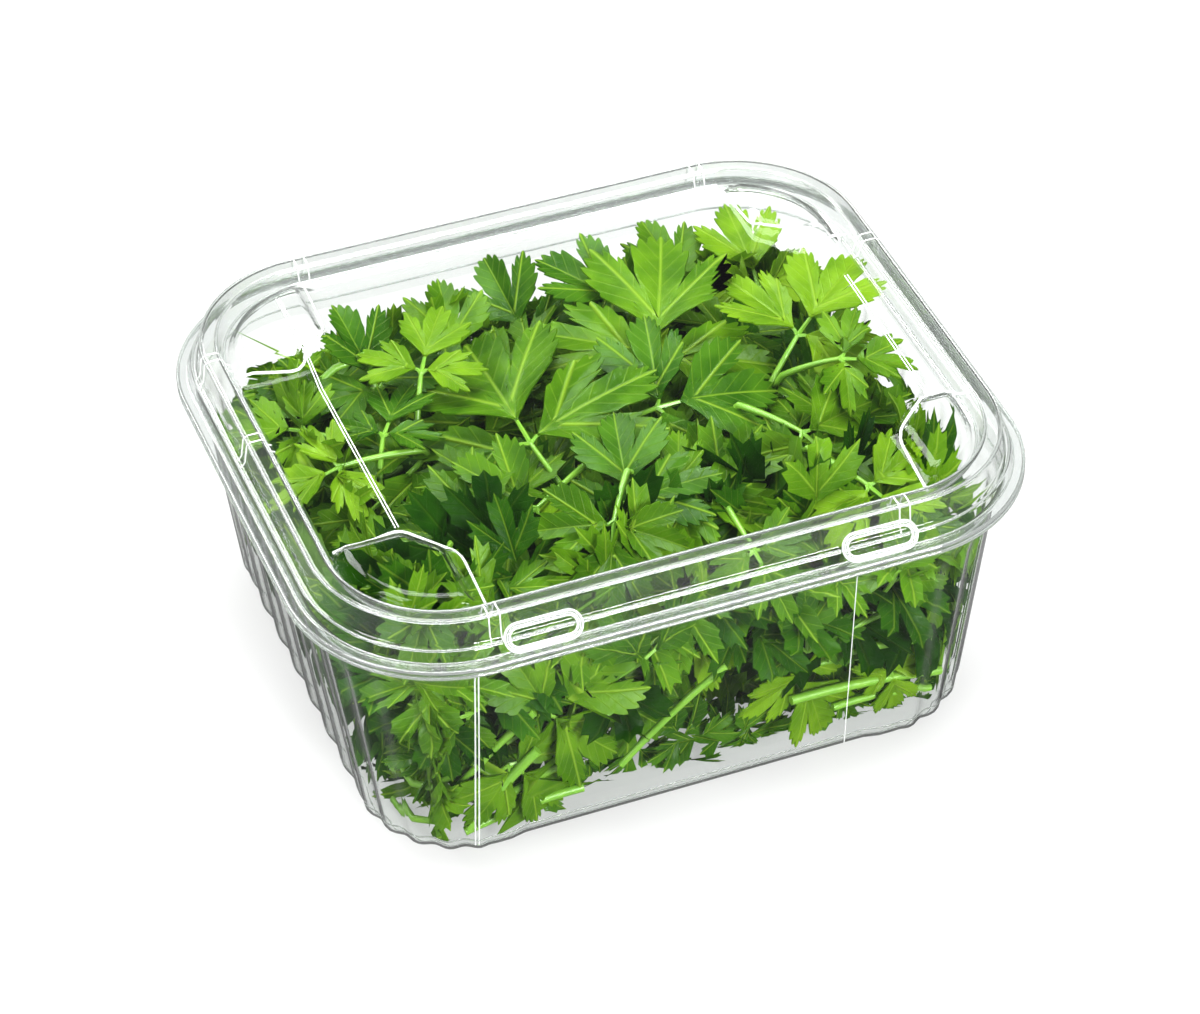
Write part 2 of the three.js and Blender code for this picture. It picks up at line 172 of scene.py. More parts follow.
def paint_sky():
    world = bpy.data.worlds.new("studio")
    world.use_nodes = True
    tree = world.node_tree
    direction = add_node(tree, "TexCoord", {})
    split = add_node(tree, "SeparateXYZ", {0: direction.outputs["Generated"]})
    ramp = add_node(tree, "ValToRGB", {"Fac": split.outputs["Z"]})
    stops = ramp.color_ramp.elements
    stops[0].position, stops[1].position = SKY_STEPS[0][0], SKY_STEPS[-1][0]
    for height, _ in SKY_STEPS[1:-1]:
        stops.new(height)
    for stop, (_, shade) in zip(stops, SKY_STEPS):
        stop.color = (shade, shade, shade, 1)
    mirrored = tree.nodes["Background"]
    feed(tree, mirrored, {"Color": ramp.outputs["Color"]})
    filling = add_node(tree, "Background", {"Color": FILL_LIGHT})
    rays = add_node(tree, "LightPath", {})
    blend(tree, rays.outputs["Is Diffuse Ray"], mirrored, filling, "World Output")
    scene.world = world


paint_sky()
print("sky:", len(SKY_STEPS), "shades")

# %% The lamps: places and sizes in metres, power in watts
LAMPS = {
    "overhead": {"place": (0.1, 0.3, 1.4), "aim": (0, 0, 0.05), "size": (1.1, 0.8), "power": 38},
    "left_box": {"place": (-1.1, -0.35, 0.9), "aim": (0, 0, 0.05), "size": (0.6, 0.7), "power": 12},
    "back_box": {"place": (-0.6, 1.1, 1.05), "aim": (0, 0, 0.05), "size": (0.9, 0.8), "power": 22},
    "front_fill": {"place": (0.4, -1.5, 0.8), "aim": (0, 0, 0.03), "size": (0.8, 0.5), "power": 50},
}


def hang_lamp(name, place, aim, size, power):
    data = bpy.data.lights.new(name, "AREA")
    data.shape = "RECTANGLE"
    data.size, data.size_y = size
    data.energy = power
    lamp = bpy.data.objects.new(name, data)
    lamp.location = place
    lamp.rotation_euler = (Vector(place) - Vector(aim)).to_track_quat("Z", "Y").to_euler()
    scene.collection.objects.link(lamp)


for name, row in LAMPS.items():
    hang_lamp(name, **row)
print("lamps:", ", ".join(LAMPS))

# %% How light is counted: enough bounces for a ray to pass the whole box
view = scene.view_settings
view.view_transform = "Standard"
cycles = scene.cycles
cycles.max_bounces = 16
cycles.transmission_bounces = 16
cycles.transparent_max_bounces = 24
cycles.glossy_bounces = 3
cycles.diffuse_bounces = 2
cycles.caustics_reflective = False
cycles.caustics_refractive = False
print("bounces at most:", cycles.max_bounces)

# %% [markdown]
# ## Clear sheet
# The sheet is thin, hard and glossy. A lamp shines straight through it in real life, but a path
# tracer would find that light only by chance, so the shader turns into plain clear film for
# shadow rays and for light that the leaves send about, and is real plastic for the camera.

# %% The plastic
SHEET_TINT = (0.94, 0.955, 0.945, 1)
SHADOW_TINT = (0.95, 0.955, 0.952, 1)
SHEET_MIRROR = (0.6, 0.6, 0.6, 1)


def make_sheet_plastic():
    plastic, tree, shader = start_material("clear_sheet")
    feed(tree, shader, {
        "Base Color": SHEET_TINT, "Roughness": 0.02, "IOR": 1.3,
        "Specular Tint": SHEET_MIRROR, "Transmission Weight": 1.0,
    })
    film = add_node(tree, "BsdfTransparent", {"Color": SHADOW_TINT})
    rays = add_node(tree, "LightPath", {})
    either = add_math(tree, "MAXIMUM", rays.outputs["Is Shadow Ray"], rays.outputs["Is Diffuse Ray"])
    blend(tree, either, shader, film)
    return plastic


def varied_plastic(name, tint, bending, roughness, clarity):
    """The clear sheet again, with its own tint, index of refraction, roughness and clarity."""
    plastic = CLEAR_SHEET.copy()
    plastic.name = name
    tree = plastic.node_tree
    feed(tree, tree.nodes["Principled BSDF"], {
        "Base Color": tint, "IOR": bending, "Roughness": roughness,
        "Specular Tint": (1, 1, 1, 1), "Transmission Weight": clarity,
    })
    return plastic


CLEAR_SHEET = make_sheet_plastic()
RIM_SHEET = varied_plastic("rim_sheet", (0.87, 0.89, 0.88, 1), 1.45, 0.03, 0.99)
print("plastics:", CLEAR_SHEET.name, RIM_SHEET.name)

# %% [markdown]
# ## Parsley green
# A leaf is shinier above than a matt green would suggest, its ribs are paler than the cells
# between them, and light from behind glows through. The ribs are one shared node group that reads
# each lobe's own coordinates: along its rib and away from it.

# %% Ribs and side veins as a node group
SIDE_VEINS = 7.0
VEIN_SLANT = 1.25
VEIN_PALENESS = 0.28
RIB_WIDTH = 0.022


def soft_step(tree, value, low, high, start, end):
    limits = {"From Min": low, "From Max": high, "To Min": start, "To Max": end}
    node = add_node(tree, "MapRange", {"Value": value, **limits})
    node.interpolation_type = "SMOOTHSTEP"
    return node.outputs["Result"]


def make_vein_group():
    group = bpy.data.node_groups.new("leaf_veins", "ShaderNodeTree")
    group.interface.new_socket("Rib Width", in_out="INPUT", socket_type="NodeSocketFloat")
    group.interface.new_socket("Veins", in_out="OUTPUT", socket_type="NodeSocketFloat")
    group.interface.new_socket("Relief", in_out="OUTPUT", socket_type="NodeSocketFloat")
    given, result = group.nodes.new("NodeGroupInput"), group.nodes.new("NodeGroupOutput")
    lobe = add_node(group, "UVMap", {})
    lobe.uv_map = "lobe"
    split = add_node(group, "SeparateXYZ", {0: lobe.outputs["UV"]})
    along, across = split.outputs["X"], add_math(group, "ABSOLUTE", split.outputs["Y"])
    nearness = add_math(group, "DIVIDE", across, given.outputs["Rib Width"])
    rib = soft_step(group, nearness, 0.0, 1.0, 1.0, 0.0)
    slanted = add_math(group, "MULTIPLY", across, VEIN_SLANT)
    chevron = add_math(group, "SUBTRACT", along, slanted)
    counted = add_math(group, "MULTIPLY", chevron, SIDE_VEINS)
    sawtooth = add_math(group, "FRACT", counted)
    centred = add_math(group, "SUBTRACT", sawtooth, 0.5)
    distance = add_math(group, "ABSOLUTE", centred)
    side = soft_step(group, distance, 0.4, 0.5, 0.0, VEIN_PALENESS)
    veins = add_math(group, "MAXIMUM", rib, side)
    place = add_node(group, "TexCoord", {})
    cells = add_node(group, "TexNoise", {"Vector": place.outputs["Object"], "Scale": 420, "Detail": 2})
    bumps = add_math(group, "MULTIPLY", cells.outputs["Fac"], 0.5)
    raised = add_math(group, "MULTIPLY", veins, 0.5)
    feed(group, result, {"Veins": veins, "Relief": add_math(group, "ADD", bumps, raised)})
    return group


VEINS = make_vein_group()
print("vein group:", len(VEINS.nodes), "nodes")

# %% [markdown]
# The heap gets darker inwards, by painted shade. Four greens share out the leaves that show, one more
# colours the leaves under them darker, as painted shade, and a last one is nearly black and closes the
# depth.
# The two dark ones hardly shine, their sheen turned down as painted shade, as nothing bright is near enough
# to be mirrored there.

# %% Leaf greens, each from dark to bright, and the stalk's
LEAF_GREENS = {
    "leaf_mid": ((0.052, 0.155, 0.002, 1), (0.120, 0.275, 0.006, 1)),
    "leaf_dark": ((0.020, 0.088, 0.002, 1), (0.058, 0.175, 0.005, 1)),
    "leaf_bright": ((0.090, 0.220, 0.003, 1), (0.195, 0.375, 0.010, 1)),
    "leaf_deep": ((0.032, 0.112, 0.001, 1), (0.084, 0.215, 0.004, 1)),
}
# Painted shade: the green of the nearly black leaves deep in the heap, and of the leaves just under those
# that show.
SHADE_GREEN = ((0.003, 0.024, 0.0004, 1), (0.012, 0.060, 0.001, 1))
UNDER_SHADE_GREEN = ((0.010, 0.055, 0.001, 1), (0.030, 0.112, 0.003, 1))
RIB_GREEN = (0.26, 0.44, 0.03, 1)
THROUGH_LIGHT = 0.3
STALK_GREEN = (0.20, 0.40, 0.03, 1)
STALK_STREAK = (0.10, 0.29, 0.02, 1)


def make_leaf_green(name, dark, bright, rib_strength=0.75, sheen=0.11):
    green, tree, shader = start_material(name)
    veins = tree.nodes.new("ShaderNodeGroup")
    veins.node_tree = VEINS
    feed(tree, veins, {"Rib Width": RIB_WIDTH})
    place = add_node(tree, "TexCoord", {})
    mottle = add_node(tree, "TexNoise", {"Vector": place.outputs["Object"], "Scale": 90, "Detail": 3})
    spread = soft_step(tree, mottle.outputs["Fac"], 0.3, 0.7, 0.0, 1.0)
    strength = add_math(tree, "MULTIPLY", veins.outputs["Veins"], rib_strength)
    flesh, ribbed = add_node(tree, "Mix", {}), add_node(tree, "Mix", {})
    flesh.data_type = ribbed.data_type = "RGBA"
    feed(tree, flesh, {"Factor": spread, "A": dark, "B": bright})
    feed(tree, ribbed, {"Factor": strength, "A": flesh.outputs["Result"], "B": RIB_GREEN})
    shade = ribbed.outputs["Result"]
    bump = add_node(tree, "Bump", {"Height": veins.outputs["Relief"], "Strength": 0.8, "Distance": 0.0006})
    feed(tree, shader, {
        "Base Color": shade, "Roughness": 0.31, "Specular IOR Level": sheen,
        "Normal": bump.outputs["Normal"],
    })
    glow = add_node(tree, "BsdfTranslucent", {"Color": shade})
    blend(tree, THROUGH_LIGHT, shader, glow)
    return green


def make_stalk_green():
    green, tree, shader = start_material("stalk")
    place = add_node(tree, "TexCoord", {})
    streaks = add_node(tree, "TexNoise", {"Vector": place.outputs["Object"], "Scale": 250})
    ramp = add_node(tree, "ValToRGB", {"Fac": streaks.outputs["Fac"]})
    ramp.color_ramp.elements[0].color = STALK_STREAK
    ramp.color_ramp.elements[1].color = STALK_GREEN
    feed(tree, shader, {"Base Color": ramp.outputs["Color"], "Roughness": 0.35})
    return green


LEAF_FINISHES = {name: make_leaf_green(name, *pair) for name, pair in LEAF_GREENS.items()}
# The two dark finishes are painted shade, with their ribs and sheen turned down.
SHADE_FINISH = make_leaf_green("leaf_shade", *SHADE_GREEN, rib_strength=0.05, sheen=0.02)
UNDER_SHADE_FINISH = make_leaf_green("leaf_under_shade", *UNDER_SHADE_GREEN, rib_strength=0.3, sheen=0.04)
STALK_FINISH = make_stalk_green()
print("greens:", *LEAF_FINISHES, SHADE_FINISH.name, UNDER_SHADE_FINISH.name, STALK_FINISH.name)

# %% [markdown]
# ## Sheets through rings
# Both halves of the box are one sheet drawn through many closed rings. A flat grid already has the
# right faces: one of its directions runs round the box and the other from ring to ring, so each of
# its points only has to be moved to its place, and the seam merged.

# %% A grid bent through rings of points
def bend_grid(shape, rows, columns, place_of):
    """A grid with each point moved to its place. Gives back every point's row and column."""
    made = bmesh.ops.create_grid(shape, x_segments=columns, y_segments=rows, size=1)
    cells = {}
    for vert in made["verts"]:
        column = round((vert.co.x + 1) / 2 * columns)
        row = round((vert.co.y + 1) / 2 * rows)
        vert.co = place_of(row, column)
        cells[vert] = (row, column)
    return cells


def sheet_through(rings, rim_row):
    """The sheet through the rings. Its faces from rim_row outwards take the second finish."""
    shape = bmesh.new()
    count = len(rings[0])

    def place_of(row, column):
        return Vector(rings[row][column % count]) * MM

    cells = bend_grid(shape, len(rings) - 1, count, place_of)
    for face in shape.faces:
        face.material_index = min(cells[vert][0] for vert in face.verts) >= rim_row
    bmesh.ops.remove_doubles(shape, verts=shape.verts, dist=1e-6)
    rims = [edge for edge in shape.edges if edge.is_boundary]
    inner = [edge for edge in rims if all(cells[vert][0] == 0 for vert in edge.verts)]
    bmesh.ops.contextual_create(shape, geom=inner)
    bmesh.ops.recalc_face_normals(shape, faces=shape.faces)
    return shape


SHARP = math.radians(50)


def finish_piece(shape, name, material, body, slot, thickness=None):
    """The piece of a finished shape, smooth but for its sharp edges, riding on its body."""
    for face in shape.faces:
        face.smooth = True
    for edge in shape.edges:
        if len(edge.link_faces) == 2 and edge.calc_face_angle() > SHARP:
            edge.smooth = False
    mesh = bpy.data.meshes.new(name)
    shape.to_mesh(mesh)
    shape.free()
    for finish in material if isinstance(material, list) else [material]:
        mesh.materials.append(finish)
    piece = bpy.data.objects.new(name, mesh)
    scene.collection.objects.link(piece)
    if thickness:
        wall = piece.modifiers.new("wall", "SOLIDIFY")
        wall.thickness = thickness * MM
        wall.offset = -1
        wall.use_even_offset = True
    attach(piece, body)
    return piece


def tell(piece, *more):
    print(piece.name + ":", len(piece.data.polygons), "faces", *more)


# %% Rounded outlines with flutes
RIM_HALF_X, RIM_HALF_Y, RIM_RADIUS = 96.0, 80.5, 39.6
PARTING_Z = 70.5
RIM_GAP = 0.3
SHEET = 0.6
PANEL_RISE = 6.6
WALL_TOP = {"x": 89.2, "y": 73.7, "radius": 33.0}
WALL_FOOT = {"x": 80.2, "y": 71.0, "radius": 26.0}
FOOT_ROUND = 5.0
PANEL_HALF_X = 50.0
PANEL_DEPTH = 0.9
FLUTE_DEPTH = 1.1
CORNER_FLUTES, SIDE_FLUTES = 5, 7
FLUTES_FADE, FLUTES_END = 54, 62
CORNER_STEPS, LONG_STEPS, SHORT_STEPS = 40, 26, 56


def smoothstep(value, low, high):
    share = min(max((value - low) / (high - low), 0), 1)
    return share * share * (3 - 2 * share)


def window(share, ramps):
    return min(1, ramps * share, ramps * (1 - share))


def outline(half_x, half_y, radius):
    points = []
    for corner, (sx, sy) in enumerate(((1, -1), (1, 1), (-1, 1), (-1, -1))):
        start = math.radians(90 * corner - 90)
        for step in range(CORNER_STEPS + 1):
            share = step / CORNER_STEPS
            angle = start + share * math.pi / 2
            flute = -math.cos(2 * CORNER_FLUTES * math.pi * share) * window(share, 2 * CORNER_FLUTES)
            x = sx * (half_x - radius) + radius * math.cos(angle)
            y = sy * (half_y - radius) + radius * math.sin(angle)
            points.append((x, y, math.cos(angle), math.sin(angle), flute, 0))
        end = start + math.pi / 2
        short = corner % 2 == 0
        steps = SHORT_STEPS if short else LONG_STEPS
        for step in range(1, steps):
            share = step / steps
            if short:
                flute = math.cos(2 * SIDE_FLUTES * math.pi * share) * window(share, 2 * SIDE_FLUTES)
                along = (half_y - radius) * (2 * share - 1)
                points.append((sx * half_x, sx * along, math.cos(end), math.sin(end), flute, 0))
            else:
                along = (half_x - radius) * (1 - 2 * share)
                panel = 1 - smoothstep(abs(along), PANEL_HALF_X - 1.5, PANEL_HALF_X)
                points.append((sy * along, sy * half_y, math.cos(end), math.sin(end), 0, panel))
    return points


def wall_size(z, shrink=0):
    """The wall's half length, half width and corner radius at height z."""
    share = min(max(z / (PARTING_Z - 6), 0), 1)
    return [WALL_FOOT[key] + (WALL_TOP[key] - WALL_FOOT[key]) * share - shrink for key in WALL_TOP]


def tray_ring(z, shrink, relief):
    ring = []
    for x, y, nx, ny, flute, panel in outline(*wall_size(z, shrink)):
        out = relief * (FLUTE_DEPTH * 0.5 * flute - PANEL_DEPTH * panel)
        ring.append((x + nx * out, y + ny * out, z))
    return ring


def rim_outline(inset):
    return outline(RIM_HALF_X - inset, RIM_HALF_Y - inset, max(RIM_RADIUS - inset, 3))


def rim_ring(inset, z):
    return [(x, y, z) for x, y, *_ in rim_outline(inset)]


# %% [markdown]
# ## The tray
# The outside skin runs from the middle of the floor, round the foot and up the fluted wall to the
# flat rim. A Solidify modifier then gives the wall its thickness inwards. Above the wall the profile is
# a short list of points, each an inset from the rim's edge and a height, with its corners rounded.

# %% Build the tray
def round_profile(points, radius, steps=3):
    """The same run of (inset, height) points with each corner turned into a short curve."""
    rounded = [points[0]]
    for before, corner, after in zip(points, points[1:], points[2:]):
        ways = []
        for other in (before, after):
            gap = math.dist(corner, other)
            cut = min(radius, gap * 0.45) / gap
            ways.append([c + (o - c) * cut for c, o in zip(corner, other)])
        first, last = ways
        for step in range(steps + 1):
            t = step / steps
            rounded.append(tuple(
                (1 - t) ** 2 * a + 2 * t * (1 - t) * b + t * t * c for a, b, c in zip(first, corner, last)
            ))
    rounded.append(points[-1])
    return rounded


def build_tray():
    top = PARTING_Z - RIM_GAP / 2
    rings = [tray_ring(0.6, 14, 1), tray_ring(0, 9, 1)]
    for step in range(7):
        angle = step / 6 * math.pi / 2
        z = FOOT_ROUND * (1 - math.cos(angle))
        rings.append(tray_ring(z, FOOT_ROUND * (1 - math.sin(angle)), 1))
    for z in (*range(12, FLUTES_FADE, 6), *range(FLUTES_FADE, FLUTES_END + 1, 2)):
        rings.append(tray_ring(z, 0, 1 - smoothstep(z, FLUTES_FADE, FLUTES_END)))
    rim_row = len(rings)
    lip = [(6.4, 63.0), (6.0, top - 5.2), (5.2, top - 0.9), (0.2, top - 0.9), (0.1, top - 0.2)]
    rings += [rim_ring(inset, z) for inset, z in round_profile(lip, 0.7)]
    shape = sheet_through(rings, rim_row)
    tray = finish_piece(shape, "fine_tray", [CLEAR_SHEET, RIM_SHEET], "tray", "clear_sheet", SHEET)
    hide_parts("tray")
    tell(tray)


build_tray()

# %% [markdown]
# ## The lid
# The lid's flat middle lies below a raised rail that stiffens it, and a hump stands in each corner
# so that boxes stack without sliding. Its flange lies on the tray's and snaps on at two latches.

# %% Build the lid
HUMP = {"left": 54, "right": 61, "front": 33, "rise": 4.2, "slope": 5, "reach": 27.6}
CHAMFER = {"x": 0.765, "y": 0.647, "cut": 7}


def hump_height(x, y):
    start = HUMP["left"] if x < 0 else HUMP["right"]
    u, v = abs(x) - start, abs(y) - HUMP["front"]
    chamfer = u * CHAMFER["x"] + v * CHAMFER["y"] - CHAMFER["cut"]
    past_x = max(abs(x) - (RIM_HALF_X - RIM_RADIUS), 0)
    past_y = max(abs(y) - (RIM_HALF_Y - RIM_RADIUS), 0)
    from_rail = HUMP["reach"] - math.hypot(past_x, past_y)
    return HUMP["rise"] * smoothstep(min(u, v, chamfer, from_rail), 0, HUMP["slope"])


def panel_level(x, y):
    return PARTING_Z + PANEL_RISE + hump_height(x, y)


def build_lid():
    insets = [56, 52, *[48 - 1.5 * i for i in range(23)]]
    rings = [[(x, y, panel_level(x, y)) for x, y, *_ in rim_outline(inset)] for inset in insets]
    rim_row = len(rings)
    profile = [
        (13.6, 6.6), (12.2, 7.2), (11, 10.9), (10.4, 11.6), (7.2, 11.6), (6.5, 10.8), (5.5, 4.7),
        (4.1, 4.2), (3, 1.2), (0.15, 1.2), (0.1, 0.2),
    ]
    rings += [rim_ring(inset, PARTING_Z + rise) for inset, rise in round_profile(profile, 0.6)]
    shape = sheet_through(rings, rim_row)
    lid = finish_piece(shape, "fine_lid", [CLEAR_SHEET, RIM_SHEET], "lid", "clear_sheet", SHEET)
    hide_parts("lid")
    tell(lid)


build_lid()

# %% [markdown]
# ## Ridges and beads
# Where the sheet turns sharply it is drawn into a solid bead, which gathers light along its whole
# length: white over the leaves and grey over a white table. They are the lines that the eye reads as
# clear plastic, so each is a thin tube of its own, in a finish that scatters a little light: a painted
# glint that whitens it over the leaves, with a grey tint that paints it grey over the table.

# %% The bead finishes
# Painted glint and painted shade: both finishes scatter some light as white, and the first one's grey tint
# darkens the lines over the floor.
GREY_GLINT_BEAD = varied_plastic("bead", (0.62, 0.65, 0.63, 1), 1.6, 0.05, 0.84)
WHITE_GLINT_BEAD = varied_plastic("white_glint_bead", (0.92, 0.94, 0.93, 1), 1.5, 0.1, 0.66)
print("bead finishes:", GREY_GLINT_BEAD.name, WHITE_GLINT_BEAD.name)


# %% Beads that run round the box
STILL = Matrix.Identity(4)


def add_round_bead(shape, ring, radius, sides=8, place=STILL, finish_index=0):
    """A closed tube along a ring of (x, y, nx, ny, z) points, set down by a matrix."""
    count = len(ring)

    def place_of(row, column):
        x, y, nx, ny, z = ring[column % count]
        angle = 2 * math.pi * row / sides
        out = radius * math.cos(angle)
        return place @ Vector((x + nx * out, y + ny * out, z + radius * math.sin(angle))) * MM

    cells = bend_grid(shape, sides, count, place_of)
    for face in {face for vert in cells for face in vert.link_faces}:
        face.material_index = finish_index
    bmesh.ops.remove_doubles(shape, verts=list(cells), dist=1e-6)


def rim_line(inset, rise):
    return [(x, y, nx, ny, PARTING_Z + rise) for x, y, nx, ny, *_ in rim_outline(inset)]


def foot_line(z, shrink):
    plain = outline(*wall_size(0))
    return [(x, y, nx, ny, z) for (x, y, z), (_, _, nx, ny, *_) in zip(tray_ring(z, shrink, 1), plain)]


# %% Round beads: inset, rise and radius on the rims, height, inset and radius at the foot
LID_BEADS = [
    (0.5, 0.8, 0.46), (3.1, 1.4, 0.26), (4.4, 4.3, 0.34),
    (6.8, 11.2, 0.42), (10.7, 11.2, 0.36), (12.5, 6.9, 0.38),
]
TRAY_BEADS = [(0.4, -1.0, 0.36), (5.6, -5.2, 0.24)]
FOOT_BEADS = [(5.6, 0.35, 0.26), (1.2, 2.6, 0.3)]


def build_round_beads():
    lid, tray = bmesh.new(), bmesh.new()
    for inset, rise, radius in LID_BEADS:
        add_round_bead(lid, rim_line(inset, rise), radius)
    for inset, rise, radius in TRAY_BEADS:
        add_round_bead(tray, rim_line(inset, rise), radius)
    for z, shrink, radius in FOOT_BEADS:
        add_round_bead(tray, foot_line(z, shrink), radius)
    for shape, body in ((lid, "lid"), (tray, "tray")):
        bmesh.ops.recalc_face_normals(shape, faces=shape.faces)
        tell(finish_piece(shape, body + "_beads", GREY_GLINT_BEAD, body, "clear_sheet"))


build_round_beads()

# %% [markdown]
# The other lines have two ends: the creases of the lid's middle, the outlines of the humps, the pairs
# of small ribs across the rail and the upright creases of the front wall. One function draws them all,
# and later the stalks and the leaf ribs too, so it takes a radius for every point.

# %% Beads with two ends, drawn along points
def grow_tube(shape, centres, radii, lie, finish_index, sides=8):
    """A tube drawn along points: a circle is extruded and moved on, step by step."""
    made = bmesh.ops.create_circle(shape, segments=sides, radius=1, cap_ends=False)
    ring = made["verts"]
    spots = [vert.co.copy() for vert in ring]
    faces = []
    for i, (centre, radius) in enumerate(zip(centres, radii)):
        ahead, behind = centres[min(i + 1, len(centres) - 1)], centres[max(i - 1, 0)]
        onward = (ahead - behind).normalized()
        left = onward.cross(Vector((0.05, 0.02, 1))).normalized()
        up = left.cross(onward)
        if i:
            edges = {edge for vert in ring for edge in vert.link_edges if edge.other_vert(vert) in ring}
            grown = bmesh.ops.extrude_edge_only(shape, edges=list(edges))["geom"]
            new = {item for item in grown if isinstance(item, bmesh.types.BMVert)}
            faces += [item for item in grown if isinstance(item, bmesh.types.BMFace)]
            ring = [next(e.other_vert(v) for e in v.link_edges if e.other_vert(v) in new) for v in ring]
        for vert, spot in zip(ring, spots):
            vert.co = lie @ (centre + radius * (left * spot.x + up * spot.y)) * MM
    ends = [edge for edge in {e for face in faces for e in face.edges} if edge.is_boundary]
    faces += bmesh.ops.holes_fill(shape, edges=ends, sides=sides)["faces"]
    bmesh.ops.recalc_face_normals(shape, faces=faces)
    for face in faces:
        face.material_index = finish_index


def smooth_line(points, steps):
    """Points along a run of corners, with each corner rounded off."""
    rounded = round_profile(points, 3.0, 3)
    line = []
    for a, b in zip(rounded, rounded[1:]):
        line += [tuple(p + (q - p) * i / steps for p, q in zip(a, b)) for i in range(steps)]
    return [*line, rounded[-1]]


# %% The lid's lines
CREASES = [((-64, 60), (-64, -31)), ((78, 20), (77, -33))]
CREASE_GAP = 0.4
HUMP_LINES = [
    [(-82, -36), (-64, -32), (-53, -46), (-54, -66)], [(88, -36), (77, -34), (62.5, -45.6), (61, -66)],
    [(-82, 36), (-66, 34), (-56, 46), (-55, 66)], [(86, 36), (76, 34), (63, 46), (62, 66)],
]
RAIL_RIBS = [
    ((-55, -1), "long"), ((51, -1), "long"), ((-54, 1), "long"), ((57, 1), "long"),
    ((-1, 42), "short"), ((-1, 8), "short"), ((1, 27), "short"),
]
RIB_GAP = 1.4
RAIL_SECTION = [
    (13.4, 7.0), (12.2, 7.6), (11.0, 11.2), (10.2, 11.9), (7.4, 11.9), (6.3, 11.0), (5.6, 6.0), (4.6, 4.6),
]
CREASE_RADIUS, HUMP_LINE_RADIUS, RIB_RADIUS = 0.18, 0.4, 0.2
CREASE_LIFT, HUMP_LINE_LIFT = 0.1, 0.25


def rail_place(at, kind, slide, inset, rise):
    if kind == "long":
        return Vector((at[0] + slide, at[1] * (RIM_HALF_Y - inset), PARTING_Z + rise))
    return Vector((at[0] * (RIM_HALF_X - inset), at[1] + slide, PARTING_Z + rise))


def build_line_beads():
    shape = bmesh.new()
    for start, end in CREASES:
        for side in (-CREASE_GAP, CREASE_GAP):
            line = [Vector(start).lerp(Vector(end), i / 8).to_3d() + Vector((side, 0, 0)) for i in range(9)]
            for point in line:
                point.z = panel_level(point.x, point.y) + CREASE_LIFT
            grow_tube(shape, line, [CREASE_RADIUS] * len(line), STILL, 0)
    for corners in HUMP_LINES:
        line = [Vector((x, y, panel_level(x, y) + HUMP_LINE_LIFT)) for x, y in smooth_line(corners, 4)]
        grow_tube(shape, line, [HUMP_LINE_RADIUS] * len(line), STILL, 0)
    for at, kind in RAIL_RIBS:
        for slide in (-RIB_GAP, RIB_GAP):
            line = [rail_place(at, kind, slide, inset, rise) for inset, rise in RAIL_SECTION]
            grow_tube(shape, line, [RIB_RADIUS] * len(line), STILL, 0)
    tell(finish_piece(shape, "lid_lines", WHITE_GLINT_BEAD, "lid", "clear_sheet"))


build_line_beads()

# %% The wall's upright creases
WALL_CREASES = [(-59.5, 0.22, 0.9), (39.5, 0.14, 0.0)]
CREASE_FOOT, CREASE_HEIGHT = 4, 61


def wall_point(x, z):
    """A point of the front wall's outside at x and height z."""
    half_x, half_y, radius = wall_size(z)
    past = max(abs(x) - (half_x - radius), 0)
    return Vector((x, -(half_y - radius + math.sqrt(max(radius ** 2 - past ** 2, 0))), z))


def build_wall_creases():
    shape = bmesh.new()
    for x, radius, gap in WALL_CREASES:
        for side in {-gap / 2, gap / 2}:
            line = [wall_point(x + side, CREASE_FOOT + CREASE_HEIGHT * i / 12) for i in range(13)]
            grow_tube(shape, line, [radius] * len(line), STILL, 0)
    tell(finish_piece(shape, "wall_creases", WHITE_GLINT_BEAD, "tray", "clear_sheet"))


build_wall_creases()

# %% [markdown]
# Each latch is a raised oval that snaps over the tray's rim. Its wall shows as a grey band between two
# white edges, so it is three beads side by side, and the edges take the paler finish, whose white is painted
# glint.

# %% The latches
LATCH_X = 43.6
LATCH = {"length": 20, "width": 7.4, "wall": 1.6, "inset": 4.3, "rise": 4.35, "tilt": 53}
LATCH_BEADS = [(0, 0.4, 0.66, 1), (-0.6, 0.75, 0.3, 0), (0.6, 0.75, 0.32, 0)]


def turned(axis, degrees):
    return Matrix.Rotation(math.radians(degrees), 4, axis)


def latch_oval(offset, rise):
    """Points round a latch, offset mm outside the middle of its wall, in the latch's own frame."""
    radius = (LATCH["width"] - LATCH["wall"]) / 2 + offset
    half = (LATCH["length"] - LATCH["width"]) / 2
    ends = 12
    oval = []
    for centre, start in ((half, -90), (-half, 90)):
        for step in range(ends + 1):
            angle = math.radians(start + 180 * step / ends)
            nx, ny = math.cos(angle), math.sin(angle)
            oval.append((centre + radius * nx, radius * ny, nx, ny, rise))
    return oval


def build_latches():
    shape = bmesh.new()
    spot = (LATCH["inset"] - RIM_HALF_Y, PARTING_Z + LATCH["rise"])
    for x in (-LATCH_X, LATCH_X):
        place = Matrix.Translation((x, *spot)) @ turned("X", LATCH["tilt"])
        for offset, rise, radius, finish_index in LATCH_BEADS:
            add_round_bead(shape, latch_oval(offset, rise), radius, 10, place, finish_index)
    bmesh.ops.recalc_face_normals(shape, faces=shape.faces)
    tell(finish_piece(shape, "latches", [WHITE_GLINT_BEAD, GREY_GLINT_BEAD], "lid", "clear_sheet"))


build_latches()

# %% [markdown]
# ## Leaves
# A parsley leaf is three leaflets on short necks that meet at the end of the stalk, each cut into
# three lobes with blunt teeth. Seen from the start of its blade, a leaflet's edge is a curve of reach
# against angle, so a leaflet is one grid: across it runs the angle, up it the distance, and its
# first row closes to a point. The blade folds up from its rib and droops outwards, as in the frame.

